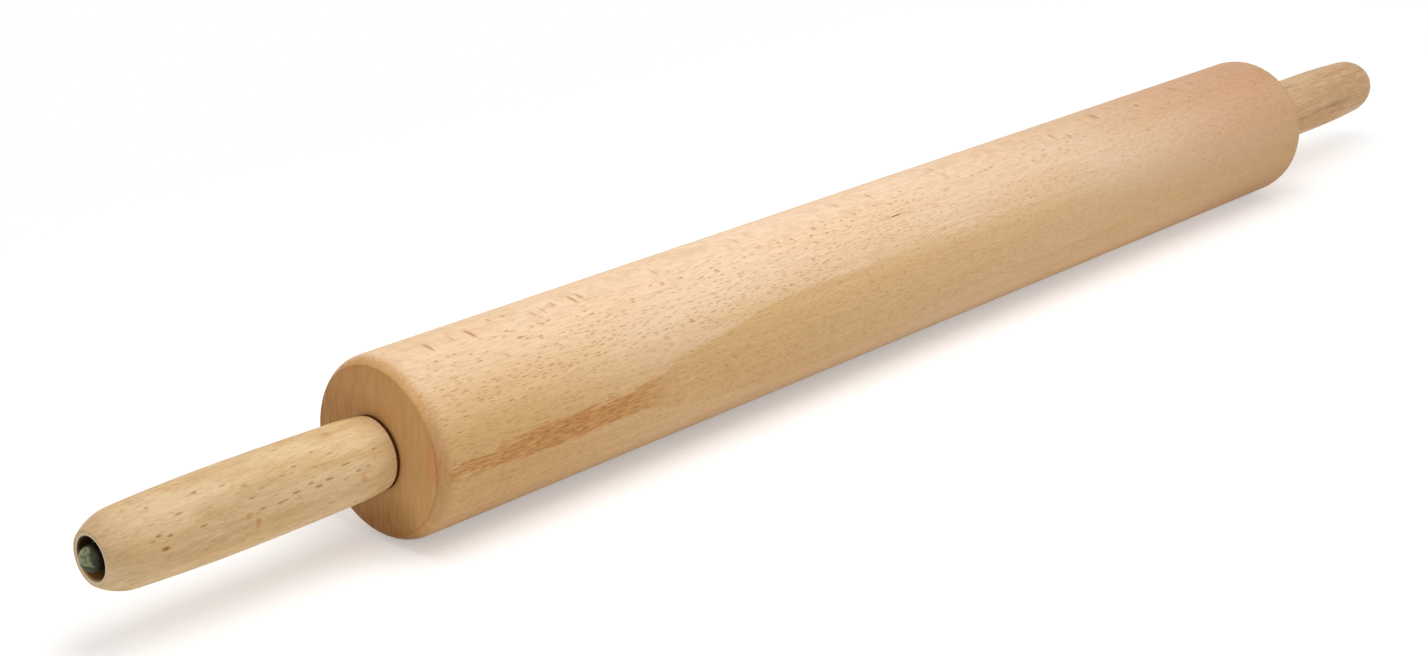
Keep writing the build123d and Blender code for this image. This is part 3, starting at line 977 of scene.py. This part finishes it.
# %% What is seen directly
def seen_directly(tree):
    """1 for what the camera, a mirror or a glass sees, and 0 for what lights other things."""
    path = node(tree, "LightPath").outputs
    share = either(tree, path["Is Camera Ray"], path["Is Glossy Ray"])
    return either(tree, share, path["Is Transmission Ray"])


# %% The floor round the pin
# It is lifted a little where it is seen directly, less under the lamp than away from it.
FLOOR_PALE = rgb(0.86, 0.86, 0.86)
WHITE = rgb(1.0, 1.0, 1.0)
LAMP_AT = (-0.14, -0.18, 0.62)
BELOW_LAMP = (*LAMP_AT[:2], FLOOR_AT)
LAMP_REACH = (0.1, 0.75)
LIFTED_BY = (0.32, 0.56)

floor_white, tree, shader = new_material("floor_white", roughness=0.9, specular=0.0)
shader.inputs["Base Color"].default_value = FLOOR_PALE
place = object_point(tree)
away = node(tree, "VectorMath", place, BELOW_LAMP, operation="DISTANCE").outputs["Value"]
level = step(tree, away, LAMP_REACH, LIFTED_BY, "LINEAR")
lift = node(tree, "Emission", WHITE, both(tree, seen_directly(tree), level)).outputs[0]
near = node(tree, "AddShader", shader.outputs[0], lift).outputs[0]
tell("a pale floor round the pin", tree)

# %% White further off
PIN_HALF = 0.42
TURNS_WHITE = (0.08, 0.45)

x, y, _ = node(tree, "SeparateXYZ", place).outputs
beyond = calc(tree, "SUBTRACT", calc(tree, "ABSOLUTE", x), PIN_HALF)
far = step(tree, either(tree, beyond, calc(tree, "ABSOLUTE", y)), TURNS_WHITE)
glow = node(tree, "Emission", WHITE, 1.0).outputs[0]
surface = node(tree, "MixShader", both(tree, far, seen_directly(tree)), near, glow).outputs[0]
put(tree, tree.nodes["Material Output"].inputs["Surface"], surface)
floor.data.materials.append(floor_white)
tell("white further off", tree)

# %% [markdown]
# ## Light
#
# The room is a soft, even studio. A big lamp hangs over the near half of the roller, and the rest
# of the light comes from all round. The sky could be made white by making it brighter, but then
# the wood would be pale too. So its light is about half, and only what looks straight at it sees
# it white. Standard view keeps every colour about as it is written.

# %% Light from all round
SKY_LEVEL = 0.47

world = bpy.data.worlds.new("studio")
world.use_nodes = True
scene.world = world
tree = world.node_tree
sky = tree.nodes["Background"]
sky.inputs["Color"].default_value = WHITE
level = calc(tree, "MULTIPLY_ADD", seen_directly(tree), 1.0 - SKY_LEVEL, SKY_LEVEL)
put(tree, sky.inputs["Strength"], level)
print("light from all round:", SKY_LEVEL)

# %% The lamp over the roller
LAMP_SIDE = 0.6
LAMP_WATTS = 3.1
LAMP_TILT = -16.0

lamp = bpy.data.lights.new("softbox", "AREA")
lamp.shape = "SQUARE"
lamp.size = LAMP_SIDE
lamp.energy = LAMP_WATTS
softbox = bpy.data.objects.new("softbox", lamp)
softbox.location = LAMP_AT
softbox.rotation_euler = (math.radians(LAMP_TILT), 0.0, 0.0)
softbox.visible_camera = False
scene.collection.objects.link(softbox)
scene.view_settings.view_transform = "Standard"
print("lamp above the floor, m:", round(LAMP_AT[2] - FLOOR_AT, 3))
